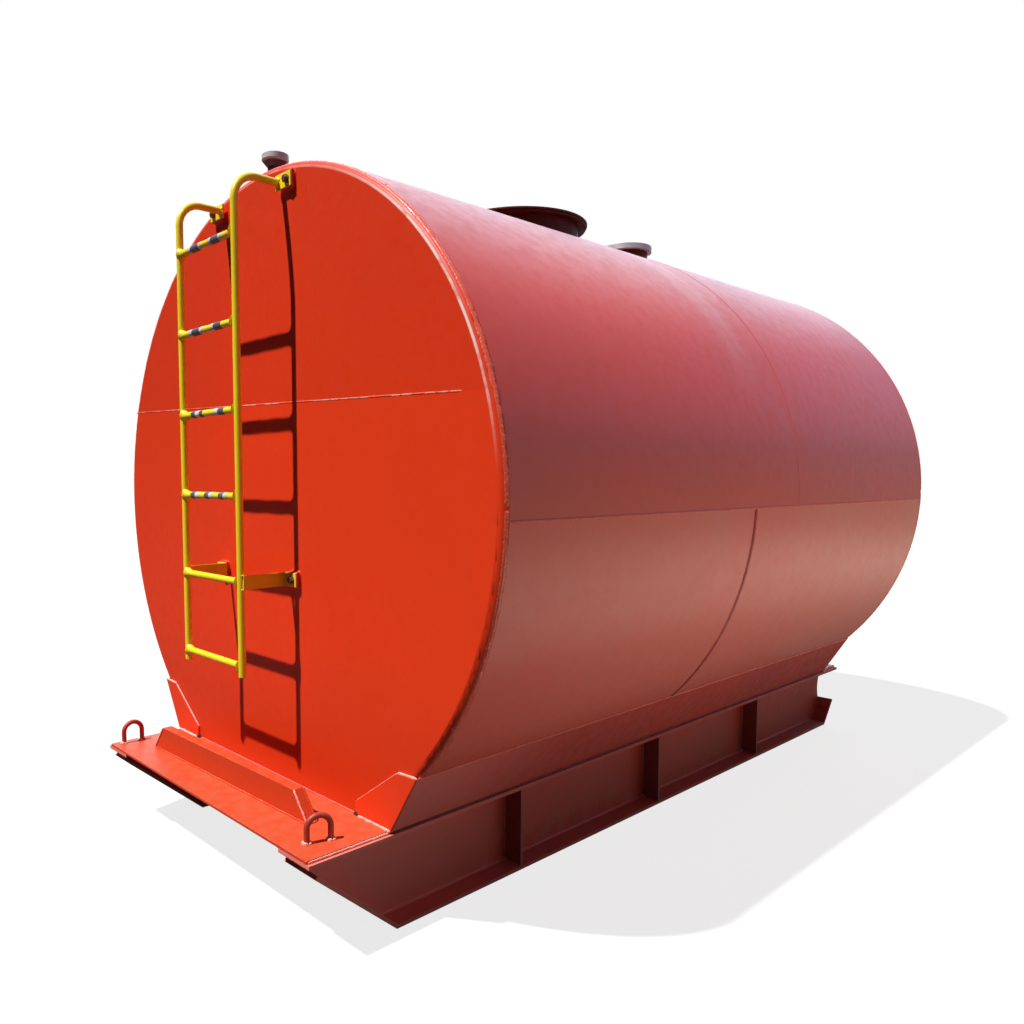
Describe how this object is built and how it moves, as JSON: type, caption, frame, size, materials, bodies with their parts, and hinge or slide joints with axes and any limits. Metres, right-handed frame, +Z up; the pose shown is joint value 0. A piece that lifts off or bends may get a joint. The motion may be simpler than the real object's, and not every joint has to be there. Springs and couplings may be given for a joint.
{
  "type": "skid tank",
  "caption": "Horizontal cylindrical steel storage tank on a two-beam skid, with flat flanged heads, an end ladder, lifting lugs, a top manhole, a nozzle and a vent.",
  "frame": {"origin": "centre of the bounding box on the ground, under the tank's axis", "axes": "+Z up, +Y along the tank away from the ladder end, +X to the right when facing the ladder"},
  "size_m": [2.4, 3.82, 2.709],
  "materials": {
    "tank_paint": "semi-gloss red oxide paint",
    "skid_paint": "semi-gloss red oxide paint, dusty",
    "ladder_paint": "gloss safety yellow paint",
    "fitting_paint": "semi-gloss red oxide paint",
    "lid_steel": "dull galvanised",
    "vent_paint": "dark weathered paint"
  },
  "bodies": {
    "root": {"deck_step": "skid_paint", "front_cross_member": "skid_paint", "front_deck": "skid_paint", "front_head_lower": "tank_paint", "front_head_upper": "tank_paint", "front_left_gusset": "skid_paint", "front_left_lifting_lug": "skid_paint", "front_right_gusset": "skid_paint", "front_right_lifting_lug": "skid_paint", "ladder_rungs": "ladder_paint", "left_cradle_plate": "skid_paint", "left_front_nose_plate": "skid_paint", "left_ladder_foot_plate": "ladder_paint", "left_ladder_rail": "ladder_paint", "left_ladder_stay": "ladder_paint", "left_lower_head_pad": "tank_paint", "left_rear_nose_plate": "skid_paint", "left_skid_beam": "skid_paint", "left_upper_head_pad": "tank_paint", "left_web_stiffeners": "skid_paint", "manhole_cover": "fitting_paint", "manhole_neck": "fitting_paint", "manhole_ring": "fitting_paint", "nozzle_lid": "lid_steel", "nozzle_neck": "fitting_paint", "rear_cross_member": "skid_paint", "rear_deck": "skid_paint", "rear_head_lower": "tank_paint", "rear_head_upper": "tank_paint", "rear_left_gusset": "skid_paint", "rear_left_lifting_lug": "skid_paint", "rear_right_gusset": "skid_paint", "rear_right_lifting_lug": "skid_paint", "right_cradle_plate": "skid_paint", "right_front_nose_plate": "skid_paint", "right_ladder_foot_plate": "ladder_paint", "right_ladder_rail": "ladder_paint", "right_ladder_stay": "ladder_paint", "right_lower_head_pad": "tank_paint", "right_rear_nose_plate": "skid_paint", "right_skid_beam": "skid_paint", "right_upper_head_pad": "tank_paint", "right_web_stiffeners": "skid_paint", "shell_lower_front": "tank_paint", "shell_lower_rear": "tank_paint", "shell_upper_front": "tank_paint", "shell_upper_rear": "tank_paint", "vent_cap": "vent_paint", "vent_nipple": "vent_paint"}
  },
  "joints": []
}
